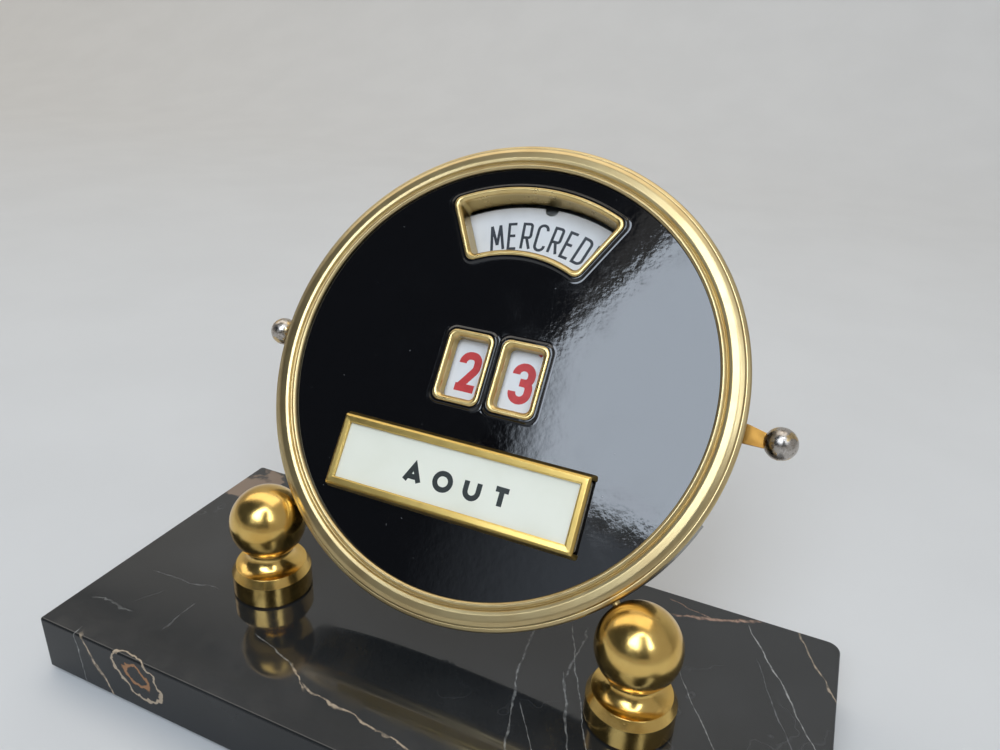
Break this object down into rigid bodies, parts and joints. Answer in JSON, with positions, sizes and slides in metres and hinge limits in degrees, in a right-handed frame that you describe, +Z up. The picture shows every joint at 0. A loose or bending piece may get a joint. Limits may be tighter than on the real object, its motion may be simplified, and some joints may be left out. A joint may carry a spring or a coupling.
{
  "type": "desk calendar",
  "caption": "Desk calendar: a round dial leans back between two brass balls on a dark marble slab; side levers turn its number and weekday discs, and month cards slide.",
  "frame": {"origin": "middle of the felt pad's underside, where the calendar rests", "axes": "+X to the viewer's right along the slab, +Y to the back, +Z up; the dial faces -Y and up"},
  "size_m": [0.15, 0.0882, 0.1047],
  "materials": {
    "marble": "polished black stone with cream and white veins",
    "felt": "dark green felt",
    "polished_brass": "polished and lacquered",
    "bezel_brass": "satin, spun",
    "case_sheet": "nickelled sheet, worn",
    "black_lacquer": "gloss stove lacquer",
    "window_brass": "satin",
    "frame_brass": "satin",
    "card": "printed card, satin",
    "disc_paint": "white paint with printed lettering",
    "movement_brass": "plain stamped brass",
    "lever_brass": "plain stamped brass, tarnished",
    "worn_nickel": "nickel plate worn to the brass in places",
    "plate_steel": "zinc-plated sheet",
    "screw_steel": "turned steel",
    "spring_steel": "spring steel"
  },
  "bodies": {
    "stand_and_head": {"marble_base": "marble", "felt_pad": "felt", "left_pedestal": "polished_brass", "right_pedestal": "polished_brass", "left_ball": "polished_brass", "right_ball": "polished_brass", "bezel": "bezel_brass", "rear_case": "case_sheet", "face_plate": "black_lacquer", "weekday_window_frame": "window_brass", "tens_window_frame": "window_brass", "units_window_frame": "window_brass", "month_frame": "frame_brass", "bridge_plate": "plate_steel", "mechanism_plate": "plate_steel", "left_base_screw": "screw_steel", "right_base_screw": "screw_steel", "left_case_screw": "screw_steel", "right_case_screw": "screw_steel", "back_screw_1": "screw_steel", "back_screw_2": "screw_steel", "back_screw_3": "screw_steel", "front_pillar_1": "screw_steel", "front_pillar_2": "screw_steel", "front_pillar_3": "screw_steel", "spacer_1": "screw_steel", "spacer_2": "screw_steel", "spacer_3": "screw_steel", "centre_arbor": "screw_steel", "left_disc_arbor": "screw_steel", "right_disc_arbor": "screw_steel", "left_lever_stud": "screw_steel", "right_lever_stud": "screw_steel", "weekday_jumper": "spring_steel", "tens_jumper": "spring_steel", "units_jumper": "spring_steel", "left_lever_spring": "spring_steel", "right_lever_spring": "spring_steel"},
    "right_lever": {"right_lever": "lever_brass", "right_lever_ball": "worn_nickel", "units_pawl": "spring_steel"},
    "left_lever": {"left_lever": "lever_brass", "left_lever_ball": "worn_nickel", "tens_pawl": "spring_steel"},
    "units_disc": {"units_disc": "disc_paint", "units_ratchet": "movement_brass"},
    "tens_disc": {"tens_disc": "disc_paint", "tens_ratchet": "movement_brass"},
    "weekday_driver": {"weekday_driver": "movement_brass", "weekday_pawl": "spring_steel"},
    "weekday_disc": {"weekday_disc": "disc_paint", "weekday_ratchet": "movement_brass"},
    "month_card_1": {"month_card_1": "card"},
    "month_card_2": {"month_card_2": "card"},
    "month_card_3": {"month_card_3": "card"},
    "month_card_4": {"month_card_4": "card"},
    "month_card_5": {"month_card_5": "card"},
    "month_card_6": {"month_card_6": "card"}
  },
  "joints": [
    {"name": "right_lever", "type": "hinge", "parent": "stand_and_head", "child": "right_lever", "pos_m": [0.024, 0.02415, 0.06047], "axis": [0, 0.8171, -0.5764], "range_deg": [0, 36], "stiffness_Nm_per_rad": 0.006, "springref_deg": -20.05, "deforming": ["right_lever_spring", "units_pawl", "units_jumper"]},
    {"name": "left_lever", "type": "hinge", "parent": "stand_and_head", "child": "left_lever", "pos_m": [-0.024, 0.02415, 0.06047], "axis": [0, -0.8171, 0.5764], "range_deg": [0, 36], "stiffness_Nm_per_rad": 0.006, "springref_deg": -20.05, "deforming": ["left_lever_spring", "tens_pawl", "tens_jumper"]},
    {"name": "units_disc", "type": "hinge", "parent": "right_lever", "child": "units_disc", "pos_m": [0.024, 0.02064, 0.06295], "axis": [0, 0.8171, -0.5764], "continuous": true},
    {"name": "tens_disc", "type": "hinge", "parent": "left_lever", "child": "tens_disc", "pos_m": [-0.024, 0.02064, 0.06295], "axis": [0, -0.8171, 0.5764], "continuous": true},
    {"name": "weekday_driver", "type": "hinge", "parent": "stand_and_head", "child": "weekday_driver", "pos_m": [0, 0.0235, 0.06093], "axis": [0, -0.8171, 0.5764], "range_deg": [0, 51.43], "deforming": ["weekday_pawl", "weekday_jumper"]},
    {"name": "weekday_disc", "type": "hinge", "parent": "weekday_driver", "child": "weekday_disc", "pos_m": [0, 0.02276, 0.06145], "axis": [0, -0.8171, 0.5764], "continuous": true},
    {"name": "month_card_1_slide", "type": "slide", "parent": "stand_and_head", "child": "month_card_1", "axis": [1, 0, 0], "range_m": [0, 0.056]},
    {"name": "month_card_2_slide", "type": "slide", "parent": "stand_and_head", "child": "month_card_2", "axis": [1, 0, 0], "range_m": [0, 0.056]},
    {"name": "month_card_3_slide", "type": "slide", "parent": "stand_and_head", "child": "month_card_3", "axis": [1, 0, 0], "range_m": [0, 0.0068]},
    {"name": "month_card_4_slide", "type": "slide", "parent": "stand_and_head", "child": "month_card_4", "axis": [1, 0, 0], "range_m": [0, 0.0068]},
    {"name": "month_card_5_slide", "type": "slide", "parent": "stand_and_head", "child": "month_card_5", "axis": [1, 0, 0], "range_m": [0, 0.0068]},
    {"name": "month_card_6_slide", "type": "slide", "parent": "stand_and_head", "child": "month_card_6", "axis": [1, 0, 0], "range_m": [0, 0.0068]}
  ],
  "couplings": [
    {"joint": "weekday_driver", "follows": "right_lever", "ratio": 1.4286}
  ]
}
